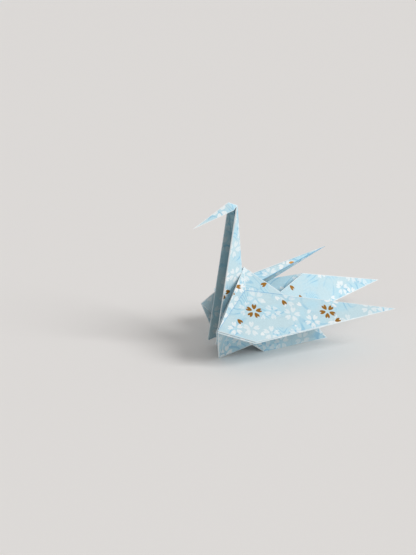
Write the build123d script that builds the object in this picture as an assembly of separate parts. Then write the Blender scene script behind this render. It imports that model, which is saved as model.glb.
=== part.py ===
"""A folded paper crane: one square sheet, set with its wings swept back.

+X runs towards the tail, -X towards the head, +Z up. Places are measured from the point on the
table under the hump, and the finished crane is set with its footprint centred on the origin.
Lengths on the flat sheet follow from the side of the square, as they do in the bird base: the
wings are its two upper flaps, the neck and the tail its two narrowed legs.
"""
from build123d import *

import os
from math import cos, radians, sin, sqrt, tan

# The square sheet and its layers
SHEET = 150.0           # side of the square
LAYER = 0.15            # one layer of the paper
WING_LAYERS = 3
BODY_LAYERS = 3
LEG_LAYERS = 5          # a neck or tail bundle after narrowing
FOLD_BULGE = 1.3        # a bend is this much fuller than its layers

# Body
APEX_HEIGHT = 29.0      # hump over the table
FRONT_FOOT = (-13.0, 5.5)    # belly corner under the neck: along, half spread
REAR_FOOT_FRONT = 3.5        # belly edge on the table, its front end
REAR_FOOT_BACK = 29.0        # and its rear end
REAR_FOOT_SPREAD = 8.0       # half spread of the two rear belly edges
BELLY_RISE = 3.0             # lift of the belly edge between the feet
CROTCH_SET_BACK = 4.0        # from the rear belly edge forward to the top of that lift
HUMP_FRONT = (-14.3, 6.0, 10.0)   # low corner of the hump's front slope: along, half spread, height
HUMP_REAR = (19.1, 3.3, 13.4)     # low corner of its rear slope

# Wings: where the ridge leaves the root, and the angles that set each wing by hand
RIDGE_ON_SHEET = 0.65        # ridge start along the wing's centre line, in sheet sides from the leg tip
NEAR_ROOT = (-3.0, -6.2, 23.0)
NEAR_SWEEP, NEAR_DROOP, NEAR_FRONT_ROLL, NEAR_REAR_ROLL = 66.0, 9.5, 36.0, 48.0
FAR_ROOT = (12.0, 7.0, 23.4)
FAR_SWEEP, FAR_DROOP, FAR_FRONT_ROLL, FAR_REAR_ROLL = 86.0, 15.5, 40.0, 55.0

# Neck and head
NECK_FOOT = (-12.7, 4.0)     # open front edge at the body: along, height
NECK_TOP = (-4.6, 50.4)      # open front edge under the head
NECK_GAP = 5.6               # between the two bundles at the open front
SPINE_TOP = (-2.6, 51.4)
SPINE_FOOT = (0.5, 8.0)
HEAD_CROWN = (-6.0, 53.0)
BEAK = (-19.5, 46.0)
HEAD_GAP = 2.4               # between the two cheeks at the lower edge

# Tail
TAIL_TIP = (32.6, 30.8)
TAIL_SPINE_FOOT = (-1.0, 21.0)
TAIL_EDGE_FOOT = (4.0, 17.0)
TAIL_GAP = 3.6               # between the two bundles at the open lower edge

# The bird base on the flat sheet
FLAP_ANGLE, LEG_ANGLE = radians(22.5), radians(11.25)
APEX_ON_SHEET = SHEET / sqrt(2)
ROOT_ON_SHEET = APEX_ON_SHEET / (1 + tan(LEG_ANGLE))
ROOT_HALF = ROOT_ON_SHEET * tan(LEG_ANGLE)
KNEE_ON_SHEET = SHEET * tan(FLAP_ANGLE) / (tan(LEG_ANGLE) + tan(FLAP_ANGLE))
KNEE_HALF = KNEE_ON_SHEET * tan(LEG_ANGLE)
RIDGE = RIDGE_ON_SHEET * SHEET

APEX = Vector(0, 0, APEX_HEIGHT)


def panel(points, layers):
    """One flat facet of folded paper, its thickness centred on the points' plane."""
    outline = Face(Wire.make_polygon(points))
    return extrude(outline, amount=layers * LAYER / 2, both=True)


def fold(start, end, layers):
    """The rounded bend where two facets meet."""
    run = end - start
    return Solid.make_cylinder(FOLD_BULGE * layers * LAYER / 2, run.length, Plane(start, z_dir=run))


def wing(root, side, sweep, droop, front_roll, rear_roll):
    """Corner points of one wing: a ridge with a front and a rear half falling away from it."""
    sweep, droop = radians(sweep), radians(droop)
    ridge = Vector(sin(sweep) * cos(droop), side * cos(sweep) * cos(droop), -sin(droop))
    ahead = Vector(-cos(sweep), side * sin(sweep), 0)
    up = ridge.cross(ahead)
    up = up if up.Z > 0 else -up
    start = Vector(*root)
    points = {"ridge": start, "tip": start + ridge * (SHEET - RIDGE)}
    for half, sign, roll in (("front", 1, front_roll), ("rear", -1, rear_roll)):
        slope = ahead * (sign * cos(radians(roll))) - up * sin(radians(roll))
        points[half + " root"] = start + ridge * (ROOT_ON_SHEET - RIDGE) + slope * ROOT_HALF
        points[half + " knee"] = start + ridge * (KNEE_ON_SHEET - RIDGE) + slope * KNEE_HALF
    return points


def wing_facets(w):
    """The two halves of a wing and their ridge fold."""
    halves = [
        panel([w["ridge"], w[h + " root"], w[h + " knee"], w["tip"]], WING_LAYERS)
        for h in ("front", "rear")
    ]
    return halves + [fold(w["ridge"], w["tip"], WING_LAYERS)]


def body_side(side, w):
    """One side of the body: the hump panel inside, the wing's own layer outside, joined at the belly."""
    hump_front = Vector(HUMP_FRONT[0], side * HUMP_FRONT[1], HUMP_FRONT[2])
    hump_rear = Vector(HUMP_REAR[0], side * HUMP_REAR[1], HUMP_REAR[2])
    front_foot = Vector(FRONT_FOOT[0], side * FRONT_FOOT[1], 0)
    rear_front = Vector(REAR_FOOT_FRONT, side * REAR_FOOT_SPREAD, 0)
    rear_back = Vector(REAR_FOOT_BACK, side * REAR_FOOT_SPREAD, 0)
    crotch_spread = (FRONT_FOOT[1] + REAR_FOOT_SPREAD) / 2
    crotch = Vector(REAR_FOOT_FRONT - CROTCH_SET_BACK, side * crotch_spread, BELLY_RISE)
    ridge, front_root, rear_root = w["ridge"], w["front root"], w["rear root"]
    facets = [
        (APEX, hump_front, crotch),
        (APEX, crotch, hump_rear),
        (hump_front, front_foot, crotch),
        (hump_rear, crotch, rear_front),
        (hump_rear, rear_front, rear_back),
        (front_root, front_foot, ridge),
        (ridge, front_foot, crotch),
        (ridge, crotch, rear_front),
        (ridge, rear_front, rear_back),
        (ridge, rear_back, rear_root),
    ]
    bends = [
        (APEX, hump_front), (APEX, hump_rear), (APEX, crotch),
        (front_root, ridge), (ridge, rear_root),
        (front_foot, crotch), (crotch, rear_front), (rear_front, rear_back),
        (ridge, front_foot), (ridge, crotch), (ridge, rear_front), (ridge, rear_back),
        (hump_front, crotch), (hump_rear, crotch), (hump_rear, rear_front),
    ]
    return ([panel(list(f), BODY_LAYERS) for f in facets]
            + [fold(a, b, BODY_LAYERS) for a, b in bends])


def leg(spine_foot, spine_top, edge_foot, edge_top, gap):
    """A narrowed leg: two bundles that share a spine and stand open along their other edge."""
    low, high = Vector(spine_foot[0], 0, spine_foot[1]), Vector(spine_top[0], 0, spine_top[1])
    pieces = [fold(low, high, LEG_LAYERS)]
    for side in (-1, 1):
        foot = Vector(edge_foot[0], side * gap / 2, edge_foot[1])
        if edge_top is None:
            pieces.append(panel([low, high, foot], LEG_LAYERS))
            continue
        top = Vector(edge_top[0], side * gap / 2, edge_top[1])
        pieces += [panel([low, high, top], LEG_LAYERS), panel([low, top, foot], LEG_LAYERS)]
        pieces.append(fold(low, top, LEG_LAYERS))
    return pieces


def head():
    """The head, reverse folded out between the neck's bundles, with its ridge on top."""
    crown, beak = Vector(HEAD_CROWN[0], 0, HEAD_CROWN[1]), Vector(BEAK[0], 0, BEAK[1])
    back = Vector(SPINE_TOP[0], 0, SPINE_TOP[1])
    pieces = [fold(crown, beak, LEG_LAYERS), fold(back, crown, LEG_LAYERS)]
    for side in (-1, 1):
        cheek = Vector(NECK_TOP[0], side * HEAD_GAP / 2, NECK_TOP[1])
        pieces += [panel([crown, beak, cheek], LEG_LAYERS), panel([crown, cheek, back], LEG_LAYERS)]
    return pieces


near_wing = wing(NEAR_ROOT, -1, NEAR_SWEEP, NEAR_DROOP, NEAR_FRONT_ROLL, NEAR_REAR_ROLL)
far_wing = wing(FAR_ROOT, 1, FAR_SWEEP, FAR_DROOP, FAR_FRONT_ROLL, FAR_REAR_ROLL)
pieces = wing_facets(near_wing) + wing_facets(far_wing)
pieces += body_side(-1, near_wing) + body_side(1, far_wing)
pieces += leg(SPINE_FOOT, SPINE_TOP, NECK_FOOT, NECK_TOP, NECK_GAP) + head()
pieces += leg(TAIL_SPINE_FOOT, TAIL_TIP, TAIL_EDGE_FOOT, None, TAIL_GAP)
crane = pieces[0].fuse(*pieces[1:])
table = Box(4 * SHEET, 4 * SHEET, SHEET, align=(Align.CENTER, Align.CENTER, Align.MAX))
crane = crane - table
footprint = crane.bounding_box().center()
crane = crane.moved(Location((-footprint.X, -footprint.Y, 0)))

os.makedirs("parts", exist_ok=True)
export_step(crane, "parts/paper_crane.step")
print("solids", len(crane.solids()), "volume", round(crane.volume, 1), "footprint centre", footprint)
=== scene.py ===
"""Looks for a folded paper crane: printed paper on the folded sheet, a pale table and soft light."""
from collections import namedtuple
from math import cos, pi, radians, sin, sqrt, tan

import bmesh
import bpy
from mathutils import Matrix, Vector


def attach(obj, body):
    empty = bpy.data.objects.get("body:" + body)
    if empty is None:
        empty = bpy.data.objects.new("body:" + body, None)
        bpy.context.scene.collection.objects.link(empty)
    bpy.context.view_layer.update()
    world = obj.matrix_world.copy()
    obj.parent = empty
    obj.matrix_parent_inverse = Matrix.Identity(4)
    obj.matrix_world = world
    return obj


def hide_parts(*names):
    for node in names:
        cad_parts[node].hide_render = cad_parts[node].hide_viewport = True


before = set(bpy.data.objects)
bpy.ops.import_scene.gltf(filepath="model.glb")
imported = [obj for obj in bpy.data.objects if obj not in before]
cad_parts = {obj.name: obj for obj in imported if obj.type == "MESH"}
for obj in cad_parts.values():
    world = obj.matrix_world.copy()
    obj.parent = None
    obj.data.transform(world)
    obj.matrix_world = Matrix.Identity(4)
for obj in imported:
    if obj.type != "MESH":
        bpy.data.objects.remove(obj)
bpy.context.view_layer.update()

bl_info = {
    "name": "Folded Paper Crane",
    "version": (1, 0, 0),
    "blender": (4, 5, 0),
    "location": "3D View > Sidebar > Crane",
    "description": "Prints the paper of a folded crane and sets it on a table",
    "category": "Object",
}

MM = 0.001
NODE = "paper_crane"
BODY = "root"

# The part's sizes in millimetres, measured from the point on the table under the hump
UNDER_HUMP = Vector((-21.4118, 2.48065, 0))   # that point in the frame
SHEET = 150.0
APEX = Vector((0, 0, 29.0))
FRONT_FOOT = (-13.0, 5.5)             # along, half spread
REAR_FOOT_FRONT, REAR_FOOT_BACK, REAR_FOOT_SPREAD = 3.5, 29.0, 8.0
CROTCH_SET_BACK, BELLY_RISE = 4.0, 3.0
HUMP_FRONT = (-14.3, 6.0, 10.0)       # along, half spread, height
HUMP_REAR = (19.1, 3.3, 13.4)
RIDGE_ON_SHEET = 0.65
NEAR_WING = {"root": (-3.0, -6.2, 23.0), "side": -1, "sweep": 66, "droop": 9.5, "front": 36, "rear": 48}
FAR_WING = {"root": (12.0, 7.0, 23.4), "side": 1, "sweep": 86, "droop": 15.5, "front": 40, "rear": 55}
NECK = {"low": (0.5, 8.0), "high": (-2.6, 51.4), "foot": (-12.7, 4.0), "top": (-4.6, 50.4), "gap": 5.6}
HEAD_CROWN, BEAK, HEAD_GAP = (-6.0, 53.0), (-19.5, 46.0), 2.4

# What the sheet has beyond the part, in millimetres too
FAR_FRONT_FOOT = (-7.0, 5.5)          # the far side stands a little back and higher, as set by hand
FAR_HUMP_FRONT = (-13.8, 5.4, 16.5)
TAIL = {"low": (-1.0, 25.2), "high": (32.6, 30.8), "foot": (4.0, 21.8), "top": None, "gap": 3.6}
TAIL_NEAR_UP, TAIL_FAR_DOWN = 1.1, 3.0    # the tail's two open edges, as the twist parts them
LAYER_GAP, LAYER_STEP = 0.45, 0.40    # a wing's second layer: below the first, and proud of its edge
HUMP_ON_RIDGE = 13.3                  # length of the ridge that the hump's layer runs along
# Painted shade: a dark sheet this far inside a leg's far bundle stands for the shade in its channel
SHADE_LINING_GAP = 0.6                      # from a leg's far bundle to the layer inside it

# The bird base on the flat sheet
FLAP_ANGLE, LEG_ANGLE = radians(22.5), radians(11.25)
ROOT_ON_SHEET = SHEET / sqrt(2) / (1 + tan(LEG_ANGLE))
KNEE_ON_SHEET = SHEET * tan(FLAP_ANGLE) / (tan(LEG_ANGLE) + tan(FLAP_ANGLE))

# The photograph's frame, and the hump's place in it
PHOTO_SIZE = (416, 555)
APEX_PIXEL = (243.8, 267.0)


class PaperSettings(bpy.types.PropertyGroup):
    """Colours and sizes of the printed paper."""

    ground: bpy.props.FloatVectorProperty(
        name="Ground", description="Pale blue of the sheet", subtype="COLOR", size=3,
        min=0, max=1, default=(0.50, 0.735, 0.84))
    stream: bpy.props.FloatVectorProperty(
        name="Stream", description="Mid blue of the flowing lines", subtype="COLOR", size=3,
        min=0, max=1, default=(0.27, 0.55, 0.74))
    haze: bpy.props.FloatVectorProperty(
        name="Haze", description="Greyer blue that clouds the ground", subtype="COLOR", size=3,
        min=0, max=1, default=(0.56, 0.735, 0.80))
    white: bpy.props.FloatVectorProperty(
        name="White", description="White of the blossoms and of bare paper", subtype="COLOR", size=3,
        min=0, max=1, default=(0.87, 0.91, 0.92))
    # Painted shade: the deeper blue stands for the shadow that falls into a valley fold
    crease_shade: bpy.props.FloatVectorProperty(
        name="Crease", description="Deeper blue in a valley fold", subtype="COLOR", size=3,
        min=0, max=1, default=(0.13, 0.42, 0.68))
    # Painted shade: the deep teal stands for the shade inside the channels of the neck and the tail
    shade_lining: bpy.props.FloatVectorProperty(
        name="Lining", description="Deep teal inside the channels of the neck and the tail", subtype="COLOR",
        size=3, min=0, max=1, default=(0.07, 0.17, 0.19))
    gold: bpy.props.FloatVectorProperty(
        name="Gold", description="Ochre gold of the metallic blossoms", subtype="COLOR", size=3,
        min=0, max=1, default=(0.34, 0.155, 0.018))
    blossom_radius: bpy.props.FloatProperty(
        name="Blossom radius", description="Centre to petal tip, white", subtype="DISTANCE", unit="LENGTH",
        default=3.2 * MM)
    blossom_spacing: bpy.props.FloatProperty(
        name="Blossom spacing", description="Between neighbouring white blossoms", subtype="DISTANCE",
        unit="LENGTH", default=6.9 * MM)
    gold_radius: bpy.props.FloatProperty(
        name="Gold radius", description="Centre to petal tip, gold", subtype="DISTANCE", unit="LENGTH",
        default=2.9 * MM)
    stream_size: bpy.props.FloatProperty(
        name="Stream size", description="Size of one swirl of the flowing lines", subtype="DISTANCE",
        unit="LENGTH", default=16 * MM)
    swell_size: bpy.props.FloatProperty(
        name="Swell size", description="Width of the paper's slow unevenness", subtype="DISTANCE",
        unit="LENGTH", default=13 * MM)
    swell_depth: bpy.props.FloatProperty(
        name="Swell depth", description="Depth of the paper's slow unevenness", subtype="DISTANCE",
        unit="LENGTH", default=2.0 * MM)
    fibre_size: bpy.props.FloatProperty(
        name="Fibre size", description="Grain of the paper", subtype="DISTANCE", unit="LENGTH",
        default=0.35 * MM)


class FoldSettings(bpy.types.PropertyGroup):
    """Thickness of the stacked layers and the width of the worn pale line along the folds."""

    leg_stack: bpy.props.FloatProperty(
        name="Leg stack", description="Layers of the neck or the tail together", subtype="DISTANCE",
        unit="LENGTH", default=0.45 * MM)
    wing_stack: bpy.props.FloatProperty(
        name="Wing stack", description="Layers of a wing or a body panel together", subtype="DISTANCE",
        unit="LENGTH", default=0.30 * MM)
    tip_stack: bpy.props.FloatProperty(
        name="Tip stack", description="Thickness at a pointed tip", subtype="DISTANCE", unit="LENGTH",
        default=0.12 * MM)
    worn_width: bpy.props.FloatProperty(
        name="Worn width", description="Width of the pale line along a fold", subtype="DISTANCE",
        unit="LENGTH", default=0.30 * MM)
    far_notch: bpy.props.FloatProperty(
        name="Far notch", description="Part of the far ridge that is tucked down at its root",
        subtype="DISTANCE", unit="LENGTH", default=17.4 * MM)


class StageSettings(bpy.types.PropertyGroup):
    """Camera, light and table."""

    azimuth: bpy.props.FloatProperty(
        name="Azimuth", description="Camera round the crane", subtype="ANGLE", default=radians(-30))
    elevation: bpy.props.FloatProperty(
        name="Elevation", description="Camera above the table", subtype="ANGLE", default=radians(20))
    distance: bpy.props.FloatProperty(
        name="Distance", description="Camera to the hump", subtype="DISTANCE", unit="LENGTH",
        default=675 * MM)
    sheet_pixels: bpy.props.FloatProperty(
        name="Sheet pixels", description="Picture length of one sheet side at the hump", default=440)
    table: bpy.props.FloatVectorProperty(
        name="Table", description="Pale table colour", subtype="COLOR", size=3, min=0, max=1,
        default=(0.89, 0.87, 0.855))
    key_power: bpy.props.FloatProperty(
        name="Key", description="Soft sun on the picture's right", default=1.95)
    key_spread: bpy.props.FloatProperty(
        name="Key spread", description="Apparent width of the sun", subtype="ANGLE", default=radians(28))
    sky: bpy.props.FloatProperty(name="Sky", description="Even light from all round", default=0.45)


class Nodes:
    """Small helper that adds nodes to one tree and links values or sockets to them."""

    def __init__(self, tree):
        self.tree = tree

    def put(self, socket, value):
        if isinstance(value, bpy.types.NodeSocket):
            self.tree.links.new(value, socket)
        else:
            socket.default_value = value

    def add(self, kind, inputs=(), **settings):
        node = self.tree.nodes.new(kind)
        for name, value in settings.items():
            setattr(node, name, value)
        for key, value in dict(inputs).items():
            self.put(node.inputs[key], value)
        return node

    def group(self, tree, *values):
        return self.add("ShaderNodeGroup", enumerate(values), node_tree=tree).outputs

    def math(self, operation, *values):
        return self.add("ShaderNodeMath", enumerate(values), operation=operation).outputs[0]

    def vector(self, operation, *values):
        node = self.add("ShaderNodeVectorMath", enumerate(values), operation=operation)
        return node.outputs["Value" if operation in ("DOT_PRODUCT", "LENGTH") else "Vector"]

    def ramp(self, value, low, high):
        node = self.add("ShaderNodeMapRange", {0: value, 1: low, 2: high}, interpolation_type="SMOOTHSTEP")
        return node.outputs[0]

    def between(self, value, low, high):
        return self.add("ShaderNodeMapRange", {0: value, 3: low, 4: high}).outputs[0]

    def mix(self, factor, first, second):
        node = self.add("ShaderNodeMix", data_type="RGBA")
        for socket, value in ((node.inputs[0], factor), (node.inputs[6], first), (node.inputs[7], second)):
            self.put(socket, value)
        return node.outputs[2]


def new_group(name, inputs, outputs):
    """An empty shader group with its sockets, and a helper for its nodes."""
    tree = bpy.data.node_groups.new(name, "ShaderNodeTree")
    for label, kind in inputs:
        tree.interface.new_socket(label, in_out="INPUT", socket_type=kind)
    for label, kind in outputs:
        tree.interface.new_socket(label, in_out="OUTPUT", socket_type=kind)
    nodes = Nodes(tree)
    return nodes, nodes.add("NodeGroupInput").outputs, nodes.add("NodeGroupOutput").inputs


FLOAT, VECTOR = "NodeSocketFloat", "NodeSocketVector"

# One petal in shares of the blossom's radius; a pair is where a soft edge starts and ends
PETALS = 5
PETAL_MIDDLE, PETAL_HALF_LENGTH = 0.62, 0.38
PETAL_FOOT, PETAL_FLARE = 0.12, 0.24      # half width at the centre, and its gain outwards
PETAL_EDGE = (1.12, 0.84)
NOTCH_FLOOR, NOTCH_SLOPE = 0.80, 1.7      # the cleft in a petal's end
NOTCH_EDGE = (0.0, 0.08)
DISC_EDGE = (1.2, 1.02)


def blossom_group():
    """One notched blossom round a point, or a single petal of it, as a mask."""
    nodes, given, result = new_group(
        "blossom", [("Offset", VECTOR), ("Radius", FLOAT), ("Turn", FLOAT), ("Single", FLOAT)],
        [("Mask", FLOAT), ("Disc", FLOAT)])
    place = nodes.add("ShaderNodeSeparateXYZ", {0: given["Offset"]}).outputs
    distance = nodes.math("DIVIDE", nodes.vector("LENGTH", given["Offset"]), given["Radius"])
    angle = nodes.math("SUBTRACT", nodes.math("ARCTAN2", place[1], place[0]), given["Turn"])
    turns = nodes.math("MULTIPLY_ADD", angle, PETALS / (2 * pi), 0.5 + 2 * PETALS)
    sector = nodes.math("MODULO", nodes.math("FLOOR", turns), PETALS)
    local = nodes.math("SUBTRACT", nodes.math("FRACT", turns), 0.5)
    local = nodes.math("MULTIPLY", local, 2 * pi / PETALS)
    out = nodes.math("MULTIPLY", distance, nodes.math("COSINE", local))
    side = nodes.math("ABSOLUTE", nodes.math("MULTIPLY", distance, nodes.math("SINE", local)))
    long_part = nodes.math("DIVIDE", nodes.math("SUBTRACT", out, PETAL_MIDDLE), PETAL_HALF_LENGTH)
    wide_part = nodes.math("DIVIDE", side, nodes.math("MULTIPLY_ADD", out, PETAL_FLARE, PETAL_FOOT))
    oval = nodes.math("ADD", nodes.math("POWER", long_part, 2), nodes.math("POWER", wide_part, 2))
    cleft = nodes.math("SUBTRACT", nodes.math("MULTIPLY_ADD", side, NOTCH_SLOPE, NOTCH_FLOOR), out)
    petal = nodes.math("MULTIPLY", nodes.ramp(oval, *PETAL_EDGE), nodes.ramp(cleft, *NOTCH_EDGE))
    whole = nodes.math("SUBTRACT", 1.0, given["Single"])
    shown = nodes.math("MAXIMUM", nodes.math("COMPARE", sector, 0.0, 0.5), whole)
    nodes.put(result["Mask"], nodes.math("MULTIPLY", petal, shown))
    nodes.put(result["Disc"], nodes.math("MULTIPLY", nodes.ramp(distance, *DISC_EDGE), whole))
    return nodes.tree


SMALLEST_BLOSSOM = 0.80    # share of the full radius
FAINTEST_INK = 0.5


def scatter_group(blossom_tree):
    """Blossoms, or single petals, strewn over the sheet by chance."""
    nodes, given, result = new_group(
        "blossom_scatter",
        [("Flat", VECTOR), ("Spacing", FLOAT), ("Radius", FLOAT), ("Share", FLOAT), ("Single", FLOAT),
         ("Jitter", FLOAT)],
        [("Mask", FLOAT)])
    scale = nodes.math("DIVIDE", 1.0, given["Spacing"])
    cells = nodes.add("ShaderNodeTexVoronoi", {
        "Vector": given["Flat"], "Scale": scale, "Randomness": given["Jitter"]}, voronoi_dimensions="2D")
    chance = nodes.add("ShaderNodeSeparateColor", {0: cells.outputs["Color"]}).outputs
    offset = nodes.vector("SUBTRACT", given["Flat"], cells.outputs["Position"])
    radius = nodes.math("MULTIPLY", given["Radius"], nodes.between(chance[2], SMALLEST_BLOSSOM, 1.0))
    turn = nodes.math("MULTIPLY", chance[0], 2 * pi)
    mask = nodes.group(blossom_tree, offset, radius, turn, given["Single"])["Mask"]
    kept = nodes.math("LESS_THAN", chance[1], given["Share"])
    ink = nodes.math("MULTIPLY", kept, nodes.between(chance[2], 1.0, FAINTEST_INK))
    nodes.put(result["Mask"], nodes.math("MULTIPLY", mask, ink))
    return nodes.tree


# The flowing lines are contours of a noise; patches of another noise let them fade into haze
STREAM_NOISE = {"Detail": 0.6, "Distortion": 0.7}
STREAM_BANDS = 13.0
STREAM_EDGE = (0.20, 0.04)
PATCH_SCALE = 1.7
LINE_PATCH, HAZE_PATCH = (0.38, 0.62), (0.62, 0.40)


def stream_group():
    """Soft flowing lines, like contours of slow water."""
    nodes, given, result = new_group("stream_lines", [("Flat", VECTOR), ("Size", FLOAT)],
                                     [("Lines", FLOAT), ("Haze", FLOAT)])
    scale = nodes.math("DIVIDE", 1.0, given["Size"])
    swell = nodes.add("ShaderNodeTexNoise", {"Vector": given["Flat"], "Scale": scale, **STREAM_NOISE},
                      noise_dimensions="2D").outputs[0]
    bands = nodes.math("FRACT", nodes.math("MULTIPLY", swell, STREAM_BANDS))
    crest = nodes.math("ABSOLUTE", nodes.math("SUBTRACT", bands, 0.5))
    patch_scale = nodes.math("MULTIPLY", scale, PATCH_SCALE)
    patch = nodes.add("ShaderNodeTexNoise", {"Vector": given["Flat"], "Scale": patch_scale, "Detail": 1.0},
                      noise_dimensions="2D").outputs[0]
    lines = nodes.math("MULTIPLY", nodes.ramp(crest, *STREAM_EDGE), nodes.ramp(patch, *LINE_PATCH))
    nodes.put(result["Lines"], lines)
    nodes.put(result["Haze"], nodes.ramp(patch, *HAZE_PATCH))
    return nodes.tree


FIBRE_STRETCH = (1.0, 0.45, 0.7)
FIBRE_NOISE = {"Detail": 3.0, "Roughness": 0.65}
FIBRE_EDGE = (0.3, 0.7)


def fibre_group():
    """Fine paper fibre: a height for bump and a small change of tone."""
    nodes, given, result = new_group("paper_fibre", [("Position", VECTOR), ("Size", FLOAT)],
                                     [("Height", FLOAT), ("Tone", FLOAT)])
    scale = nodes.math("DIVIDE", 1.0, given["Size"])
    stretched = nodes.vector("MULTIPLY", given["Position"], FIBRE_STRETCH)
    grain = nodes.add("ShaderNodeTexNoise", {"Vector": stretched, "Scale": scale, **FIBRE_NOISE}).outputs[0]
    nodes.put(result["Height"], grain)
    nodes.put(result["Tone"], nodes.ramp(grain, *FIBRE_EDGE))
    return nodes.tree


# Gold blossoms and petals by facet: along and across it in millimetres, turn in degrees, whole or one petal
GOLD_PLACES = {
    "near wing front": [(3, 8, 55, 0), (28.5, 4.5, 90, 0), (-3, 11.5, 45, 1), (12.5, 1.5, 60, 1),
                        (30.5, 8.5, -30, 1)],
    "near wing shoulder": [(4, 1, 135, 1), (9, -1, 110, 1), (11, -2, 60, 1)],
    "near wing back": [(5.5, 8, -55, 1), (6.5, 6.5, 125, 1)],
    "neck near lower": [(15, 5, 80, 1), (13, 7.5, 50, 1)],
    "far wing rear": [(14, -7.5, -70, 1), (10, -4.5, -40, 1)],
    "tail near": [(21.5, 1.5, 180, 1)],
}
FACET_STEP = 0.4                  # between the print areas of two facets, in metres on the print map
# The second map marks worn pale edges, and painted shade in valley folds and in the channels
PRINT_MAP, WEAR_AND_SHADE_MAP = "print", "wear_and_shade"

# White print: the share of places that hold a blossom or a loose petal
BLOSSOM_SHARE, PETAL_SHARE = 0.72, 0.34
PETAL_SHIFT = (61 * MM, 17 * MM, 0)       # so that petals and blossoms don't share their places
PETAL_SPACING, PETAL_RADIUS = 0.60, 0.95  # in shares of a blossom's
BLOSSOM_JITTER, PETAL_JITTER = 0.6, 0.9

# How strongly each layer of colour covers the paper, and where worn pale edges and painted valley shade
# start and are full
LINE_INK, WHITE_INK, EDGE_INK, CREASE_SHADE_INK, SHADE_LINING_INK = 0.75, 0.95, 0.80, 0.85, 0.5
EDGE_RAMP, CREASE_SHADE_RAMP = (0.30, 0.85), (-0.20, -0.75)
TONE_RANGE = (0.95, 1.03)
PAPER_ROUGHNESS, GOLD_ROUGHNESS, GOLD_METALLIC = 0.72, 0.45, 0.35
PAPER_SPECULAR = 0.3
FIBRE_STRENGTH, FIBRE_DEPTH, GOLD_RAISE = 0.18, 0.05 * MM, 0.6
SWELL_STRENGTH, SWELL_DETAIL = 0.5, 0.5


def white_print(nodes, plane, settings, blossom_tree):
    """Mask of the white blossoms and loose petals."""
    scatter_tree = scatter_group(blossom_tree)
    radius, spacing = settings.blossom_radius, settings.blossom_spacing
    blossoms = nodes.group(scatter_tree, plane, spacing, radius, BLOSSOM_SHARE, 0.0, BLOSSOM_JITTER)
    petals = nodes.group(scatter_tree, nodes.vector("ADD", plane, PETAL_SHIFT), PETAL_SPACING * spacing,
                         PETAL_RADIUS * radius, PETAL_SHARE, 1.0, PETAL_JITTER)
    return nodes.math("MAXIMUM", blossoms["Mask"], petals["Mask"])


def gold_print(nodes, plane, settings, blossom_tree, facet_names):
    """Mask of the gold blossoms and petals, and mask of the ground that whole ones keep bare."""
    metal, bare = 0.0, 0.0
    for facet, places in GOLD_PLACES.items():
        start = facet_names.index(facet) * FACET_STEP
        for along, across, turn, single in places:
            offset = nodes.vector("SUBTRACT", plane, (start + along * MM, across * MM, 0))
            gold = nodes.group(blossom_tree, offset, settings.gold_radius, radians(turn), single)
            metal = nodes.math("MAXIMUM", metal, gold["Mask"])
            bare = nodes.math("MAXIMUM", bare, gold["Disc"])
    return metal, bare


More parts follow.
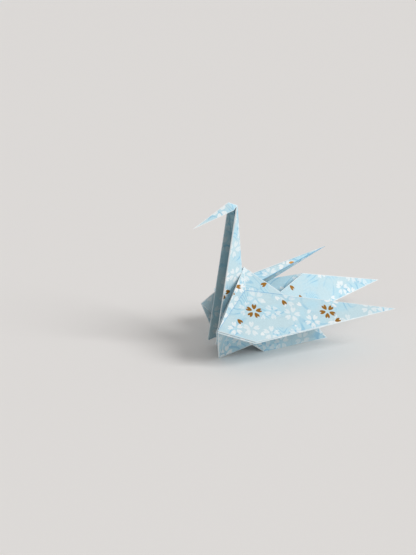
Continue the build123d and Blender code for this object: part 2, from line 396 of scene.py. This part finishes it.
def printed_paper(settings, facet_names):
    """Matt blue paper with flowing lines, white blossoms and petals, a few in metallic gold, worn pale
    edges, and painted shade in valley folds and in the channels.
    """
    material = bpy.data.materials.new("printed_paper")
    material.use_nodes = True
    nodes = Nodes(material.node_tree)
    shader = material.node_tree.nodes["Principled BSDF"]
    position = nodes.add("ShaderNodeTexCoord").outputs["Object"]
    plane = nodes.add("ShaderNodeUVMap", uv_map=PRINT_MAP).outputs[0]
    marks = nodes.add("ShaderNodeUVMap", uv_map=WEAR_AND_SHADE_MAP).outputs[0]
    # x: 1 on worn pale edges, -1 on painted valley shade; y: painted shade of the channels' dark sheet
    wear_and_shade, depth = nodes.add("ShaderNodeSeparateXYZ", {0: marks}).outputs[:2]
    blossom_tree = blossom_group()
    streams = nodes.group(stream_group(), plane, settings.stream_size)
    fibre = nodes.group(fibre_group(), position, settings.fibre_size)
    metal, bare = gold_print(nodes, plane, settings, blossom_tree, facet_names)
    white = white_print(nodes, plane, settings, blossom_tree)
    white = nodes.math("MULTIPLY", white, nodes.math("SUBTRACT", 1.0, bare))

    base = nodes.mix(streams["Haze"], (*settings.ground, 1.0), (*settings.haze, 1.0))
    coats = (
        (streams["Lines"], LINE_INK, settings.stream),
        (white, WHITE_INK, settings.white),
        (metal, 1.0, settings.gold),
        (nodes.ramp(wear_and_shade, *EDGE_RAMP), EDGE_INK, settings.white),
        # painted shade in the valley folds
        (nodes.ramp(wear_and_shade, *CREASE_SHADE_RAMP), CREASE_SHADE_INK, settings.crease_shade),
        # painted shade inside the channels
        (depth, SHADE_LINING_INK, settings.shade_lining),
    )
    for mask, ink, colour in coats:
        base = nodes.mix(nodes.math("MULTIPLY", mask, ink), base, (*colour, 1.0))
    tone = nodes.between(fibre["Tone"], *TONE_RANGE)
    base = nodes.add("ShaderNodeVectorMath", {0: base, "Scale": tone}, operation="SCALE").outputs[0]
    nodes.put(shader.inputs["Base Color"], base)
    nodes.put(shader.inputs["Metallic"], nodes.math("MULTIPLY", metal, GOLD_METALLIC))
    nodes.put(shader.inputs["Roughness"], nodes.between(metal, PAPER_ROUGHNESS, GOLD_ROUGHNESS))
    nodes.put(shader.inputs["Specular IOR Level"], PAPER_SPECULAR)

    height = nodes.math("ADD", fibre["Height"], nodes.math("MULTIPLY", metal, GOLD_RAISE))
    grain = nodes.add("ShaderNodeBump", {
        "Strength": FIBRE_STRENGTH, "Distance": FIBRE_DEPTH, "Height": height}).outputs[0]
    swell = nodes.add("ShaderNodeTexNoise", {
        "Vector": plane, "Scale": 1 / settings.swell_size, "Detail": SWELL_DETAIL}).outputs[0]
    uneven = nodes.add("ShaderNodeBump", {
        "Strength": SWELL_STRENGTH, "Distance": settings.swell_depth, "Height": swell, "Normal": grain})
    nodes.put(shader.inputs["Normal"], uneven.outputs[0])
    return material


# A flat facet: facets of one sheet weld where they meet. Tips, valleys and plain count corners or edges in
# order, axes place the print; valleys get painted shade in the deeper blue, and depth paints the channels'
# dark sheet as shade.
Facet = namedtuple("Facet", "name sheet points stack tips axes valleys plain depth",
                   defaults=((), None, (), (), 0))
ALL_EDGES = (0, 1, 2)


def wing_points(root, side, sweep, droop, front, rear, notch=0.0):
    """Corners of one wing: a ridge with a front and a rear half falling away from it."""
    sweep, droop, ridge_start = radians(sweep), radians(droop), RIDGE_ON_SHEET * SHEET
    ridge = Vector((sin(sweep) * cos(droop), side * cos(sweep) * cos(droop), -sin(droop)))
    ahead = Vector((-cos(sweep), side * sin(sweep), 0))
    up = ridge.cross(ahead)
    up = up if up.z > 0 else -up
    origin = Vector(root)
    points = {"ridge": origin + ridge * notch, "tip": origin + ridge * (SHEET - ridge_start),
              "origin": origin, "along": ridge}
    for half, sign, roll in (("front", 1, radians(front)), ("rear", -1, radians(rear))):
        slope = ahead * (sign * cos(roll)) - up * sin(roll)
        points[half + " slope"] = slope
        points[half + " across"] = slope * sign
        for corner, length in (("root", ROOT_ON_SHEET), ("knee", KNEE_ON_SHEET)):
            points[f"{half} {corner}"] = (origin + ridge * (length - ridge_start)
                                          + slope * (length * tan(LEG_ANGLE)))
    return points


def wing_facets(name, w, stack):
    """The two halves of a wing, and the second layer that shows along their edges."""
    halves, under = [], []
    for half in ("front", "rear"):
        edge = [w[half + " root"], w[half + " knee"]]
        axes = (w["origin"], w["along"], w[half + " across"])
        halves.append(Facet(f"{name} {half}", name, (w["ridge"], *edge, w["tip"]), stack, (3,), axes))
        slope = w[half + " slope"]
        down = w["along"].cross(slope)
        down = down if down.z < 0 else -down
        shift = down * LAYER_GAP + slope * LAYER_STEP
        points = (w["ridge"] + shift, *(corner + shift for corner in edge), w["tip"])
        under.append(Facet(f"{name} {half} under", f"{name} {half} under", points, stack, (3,)))
    return halves + under


def hump_layer(name, w, stack):
    """The wing's own layer where it runs up to the hump's apex, creased along the wing's root, with painted
    shade along that fold.
    """
    ridge = w["ridge"]
    corners = {
        "shoulder": (APEX, w["front root"], ridge),
        "back": (APEX, ridge, ridge + w["along"] * HUMP_ON_RIDGE),
    }
    return [Facet(f"{name} {label}", f"{name} layer", points, stack, valleys=(1,))
            for label, points in corners.items()]


def body_facets(name, w, side, hump_corner, foot_corner, stack):
    """One side of the body: the hump's panel inside, the wing's cover outside, joined at the belly."""

    def place(along, spread, height=0.0):
        return Vector((along, side * spread, height))

    hump_front, hump_rear, front_foot = place(*hump_corner), place(*HUMP_REAR), place(*foot_corner)
    rear_front = place(REAR_FOOT_FRONT, REAR_FOOT_SPREAD)
    rear_back = place(REAR_FOOT_BACK, REAR_FOOT_SPREAD)
    crotch_spread = (FRONT_FOOT[1] + REAR_FOOT_SPREAD) / 2
    crotch = place(REAR_FOOT_FRONT - CROTCH_SET_BACK, crotch_spread, BELLY_RISE)
    ridge, front_root, rear_root = w["ridge"], w["front root"], w["rear root"]
    panels = {
        "hump front": (APEX, hump_front, crotch),
        "hump rear": (APEX, crotch, hump_rear),
        "pocket front": (hump_front, front_foot, crotch),
        "pocket middle": (hump_rear, crotch, rear_front),
        "pocket rear": (hump_rear, rear_front, rear_back),
        "cover front": (ridge, front_root, front_foot),
        "cover middle": (ridge, front_foot, crotch),
        "cover crotch": (ridge, crotch, rear_front),
        "cover rear": (ridge, rear_front, rear_back),
        "cover back": (ridge, rear_back, rear_root),
    }
    spokes = (0, 2)   # the covers' edges that meet at the ridge's start have no line
    return [
        Facet(f"{name} {label}", name, points, stack, plain=spokes if label.startswith("cover") else ())
        for label, points in panels.items()
    ]


def upright(place, spread=0.0):
    """A point of the neck, head or tail from its place along the crane and its height."""
    return Vector((place[0], spread, place[1]))


def neck_facets(stack):
    """The neck: two bundles that share a spine and stand open in front, with a dark sheet in the channel as
    painted shade.
    """
    low, high = upright(NECK["low"]), upright(NECK["high"])
    facets = []
    for side, label in ((-1, "near"), (1, "far")):
        spread = side * NECK["gap"] / 2
        foot, top = upright(NECK["foot"], spread), upright(NECK["top"], spread)
        facets.append(Facet(f"neck {label} upper", "neck", (low, high, top), stack, plain=(2,)))
        facets.append(Facet(f"neck {label} lower", "neck", (low, top, foot), stack, plain=(0,)))
    # Painted shade: a dark sheet inside the far bundle stands for the shade in the channel
    ahead, inward = Vector((-2 * SHADE_LINING_GAP, 0, 0)), Vector((0, -SHADE_LINING_GAP, 0))
    low, high, top, foot = low + ahead, high + ahead, top + inward, foot + inward
    for points in ((low, high, top), (low, top, foot)):
        facets.append(Facet("neck lining", "neck lining", points, stack, plain=ALL_EDGES, depth=1))
    return facets


def head_facets(stack):
    """The head, folded out between the neck's bundles, with its ridge on top."""
    crown, beak, back = upright(HEAD_CROWN), upright(BEAK), upright(NECK["high"])
    facets = []
    for side, label in ((-1, "near"), (1, "far")):
        cheek = upright(NECK["top"], side * HEAD_GAP / 2)
        facets.append(Facet(f"beak {label}", "head", (crown, beak, cheek), stack, (1,), plain=(2,)))
        facets.append(Facet(f"crown {label}", "head", (crown, cheek, back), stack, plain=(0,)))
    return facets


def tail_facets(stack):
    """The tail: two bundles that share a spine, their open edges parted by a twist, with painted shade along
    their lower edges and a dark sheet as painted shade.
    """
    low, high = upright(TAIL["low"]), upright(TAIL["high"])
    facets = []
    for side, label, lift in ((-1, "near", TAIL_NEAR_UP), (1, "far", -TAIL_FAR_DOWN)):
        foot = upright(TAIL["foot"], side * TAIL["gap"] / 2) + Vector((0, 0, lift))
        # Painted shade: the lower open edge of each bundle is darkened in the deeper blue for the shade
        # under the tail
        facets.append(Facet(f"tail {label}", "tail", (low, high, foot), stack, (1,), valleys=(1,)))
    # Painted shade: a dark sheet inside the tail stands for the shade in its channel
    points = (low, high, foot + Vector((0, -SHADE_LINING_GAP, SHADE_LINING_GAP)))
    facets.append(Facet("tail lining", "tail lining", points, stack, (1,), plain=ALL_EDGES, depth=1))
    return facets


def crane_facets(settings):
    """All facets of the folded sheet."""
    near, far = wing_points(**NEAR_WING), wing_points(**FAR_WING, notch=settings.far_notch / MM)
    wing_stack, leg_stack = settings.wing_stack, settings.leg_stack
    return (wing_facets("near wing", near, wing_stack)
            + hump_layer("near wing", near, wing_stack)
            + body_facets("near wing", near, -1, HUMP_FRONT, FRONT_FOOT, wing_stack)
            + wing_facets("far wing", far, wing_stack)
            + body_facets("far wing", far, 1, FAR_HUMP_FRONT, FAR_FRONT_FOOT, wing_stack)
            + neck_facets(leg_stack) + head_facets(leg_stack) + tail_facets(leg_stack))


def inset(points, normal, width):
    """The same convex outline, moved inwards by a width."""
    inner = []
    for i, point in enumerate(points):
        before = normal.cross((point - points[i - 1]).normalized())
        after = normal.cross((points[(i + 1) % len(points)] - point).normalized())
        inner.append(point + (before + after) * (width / (1 + before.dot(after))))
    return inner


def fold_sheet(facets, settings):
    """One mesh of all facets: welded along the folds, with print coordinates, marks for worn edges and
    painted shade, and thickness.
    """
    bm = bmesh.new()
    print_map, wear_and_shade_map = bm.loops.layers.uv.new(PRINT_MAP), bm.loops.layers.uv.new(WEAR_AND_SHADE_MAP)
    stacks = bm.verts.layers.deform.verify()
    corners = {}

    def vertex(place, stack):
        new = bm.verts.new((place + UNDER_HUMP) * MM)
        new[stacks][0] = stack / settings.leg_stack
        return new

    for number, facet in enumerate(facets):
        points = facet.points
        normal = (points[1] - points[0]).cross(points[-1] - points[0]).normalized()
        along = (points[1] - points[0]).normalized()
        origin, along, across = facet.axes or (points[0], along, normal.cross(along))
        outer = []
        for i, point in enumerate(points):
            key = (facet.sheet, *(round(value, 3) for value in point))
            if key not in corners:
                corners[key] = vertex(point, settings.tip_stack if i in facet.tips else facet.stack)
            outer.append(corners[key])
        inner = [vertex(p, facet.stack) for p in inset(points, normal, settings.worn_width / MM)]
        for i in facet.tips:
            inner[i][stacks][0] = 2 * settings.tip_stack / settings.leg_stack
        pointed = [ring[i] for ring in (outer, inner) for i in facet.tips]
        faces = [(inner, 0)]
        for i in range(len(points)):
            after = (i + 1) % len(points)
            # 1 paints a worn pale edge, -1 painted shade along a valley, 0 nothing
            wear_and_shade = -1 if i in facet.valleys else 0 if i in facet.plain else 1
            faces.append(([outer[i], outer[after], inner[after], inner[i]], wear_and_shade))
        for face, wear_and_shade in faces:
            for loop in bm.faces.new(face).loops:
                flat = loop.vert.co / MM - UNDER_HUMP - origin
                loop[print_map].uv = (number * FACET_STEP + flat.dot(along) * MM, flat.dot(across) * MM)
                # the channels' dark sheet gets painted shade, except at its tips
                depth = 0 if loop.vert in pointed else facet.depth
                loop[wear_and_shade_map].uv = (wear_and_shade if loop.vert in outer else 0, depth)
    bmesh.ops.recalc_face_normals(bm, faces=bm.faces)
    mesh = bpy.data.meshes.new("folded_sheet")
    bm.to_mesh(mesh)
    bm.free()
    return mesh


class CRANE_OT_fold_sheet(bpy.types.Operator):
    """Fold the printed sheet with crisp edges and pointed tips"""

    bl_idname = "crane.fold_sheet"
    bl_label = "Fold Sheet"

    def execute(self, context):
        settings = context.scene.crane_fold
        facets = crane_facets(settings)
        sheet = bpy.data.objects.new("folded_sheet", fold_sheet(facets, settings))
        context.scene.collection.objects.link(sheet)
        sheet.vertex_groups.new(name="stack")
        layers = sheet.modifiers.new("layers", "SOLIDIFY")
        layers.thickness, layers.offset = settings.leg_stack, 0.0
        layers.vertex_group, layers.thickness_vertex_group = "stack", 0.0
        facet_names = [facet.name for facet in facets]
        sheet.data.materials.append(printed_paper(context.scene.crane_paper, facet_names))
        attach(sheet, BODY)
        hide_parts(NODE)
        return {"FINISHED"}


KEY_SIDE = Vector((0.45, -0.70, 0.60))   # from the crane towards the sun
TABLE_REACH = 4.0                        # metres, from the middle to each side
TABLE_ROUGHNESS = 0.8
SKY_COLOUR = (1.0, 0.985, 0.97, 1.0)
SENSOR_HEIGHT = 24.0                     # millimetres
CLIP_START = 0.01                        # metres


def add_table(settings):
    """A pale, flat table."""
    corners = [(x * TABLE_REACH, y * TABLE_REACH, 0) for x, y in ((-1, -1), (1, -1), (1, 1), (-1, 1))]
    mesh = bpy.data.meshes.new("table")
    mesh.from_pydata(corners, [], [(0, 1, 2, 3)])
    table = bpy.data.objects.new("table", mesh)
    bpy.context.scene.collection.objects.link(table)
    material = bpy.data.materials.new("table_top")
    material.use_nodes = True
    shader = material.node_tree.nodes["Principled BSDF"]
    shader.inputs["Base Color"].default_value = (*settings.table, 1.0)
    shader.inputs["Roughness"].default_value = TABLE_ROUGHNESS
    mesh.materials.append(material)


def add_sun(settings):
    """A soft sun on the picture's right, in front and above."""
    light = bpy.data.lights.new("key", "SUN")
    light.energy, light.angle = settings.key_power, settings.key_spread
    lamp = bpy.data.objects.new("key", light)
    lamp.rotation_euler = (-KEY_SIDE).to_track_quat("-Z", "Y").to_euler()
    bpy.context.scene.collection.objects.link(lamp)


def add_sky(settings):
    """Even, slightly warm light from all round."""
    world = bpy.data.worlds.new("studio")
    world.use_nodes = True
    sky = world.node_tree.nodes["Background"]
    sky.inputs["Color"].default_value = SKY_COLOUR
    sky.inputs["Strength"].default_value = settings.sky
    bpy.context.scene.world = world


def add_camera(settings):
    """The photograph's view: the hump at its pixel, one sheet side at its picture length."""
    data = bpy.data.cameras.new("camera")
    data.sensor_fit, data.sensor_height = "VERTICAL", SENSOR_HEIGHT
    focal_pixels = settings.sheet_pixels * settings.distance / (SHEET * MM)
    data.lens = focal_pixels / PHOTO_SIZE[1] * data.sensor_height
    data.shift_x = (PHOTO_SIZE[0] / 2 - APEX_PIXEL[0]) / PHOTO_SIZE[1]
    data.shift_y = (APEX_PIXEL[1] - PHOTO_SIZE[1] / 2) / PHOTO_SIZE[1]
    data.clip_start = CLIP_START
    level = cos(settings.elevation)
    back = Vector((sin(settings.azimuth) * level, -cos(settings.azimuth) * level, sin(settings.elevation)))
    camera = bpy.data.objects.new("camera", data)
    camera.location = (APEX + UNDER_HUMP) * MM + back * settings.distance
    camera.rotation_euler = (-back).to_track_quat("-Z", "Y").to_euler()
    bpy.context.scene.collection.objects.link(camera)
    bpy.context.scene.camera = camera


class CRANE_OT_set_stage(bpy.types.Operator):
    """Set the table, the sun, the sky and the camera"""

    bl_idname = "crane.set_stage"
    bl_label = "Set Stage"

    def execute(self, context):
        settings = context.scene.crane_stage
        add_table(settings)
        add_sun(settings)
        add_sky(settings)
        add_camera(settings)
        context.scene.view_settings.view_transform = "Standard"
        return {"FINISHED"}


class CRANE_PT_panel(bpy.types.Panel):
    bl_label = "Paper Crane"
    bl_space_type = "VIEW_3D"
    bl_region_type = "UI"
    bl_category = "Crane"

    def draw(self, context):
        for operator in OPERATORS:
            self.layout.operator(operator.bl_idname)
        for group in (context.scene.crane_paper, context.scene.crane_fold, context.scene.crane_stage):
            for name in group.__annotations__:
                self.layout.prop(group, name)


OPERATORS = (CRANE_OT_fold_sheet, CRANE_OT_set_stage)
CLASSES = (PaperSettings, FoldSettings, StageSettings, *OPERATORS, CRANE_PT_panel)


def register():
    for cls in CLASSES:
        bpy.utils.register_class(cls)
    bpy.types.Scene.crane_paper = bpy.props.PointerProperty(type=PaperSettings)
    bpy.types.Scene.crane_fold = bpy.props.PointerProperty(type=FoldSettings)
    bpy.types.Scene.crane_stage = bpy.props.PointerProperty(type=StageSettings)


def unregister():
    del bpy.types.Scene.crane_stage
    del bpy.types.Scene.crane_fold
    del bpy.types.Scene.crane_paper
    for cls in reversed(CLASSES):
        bpy.utils.unregister_class(cls)


def main():
    register()
    bpy.ops.crane.fold_sheet()
    bpy.ops.crane.set_stage()


if __name__ == "__main__":
    main()
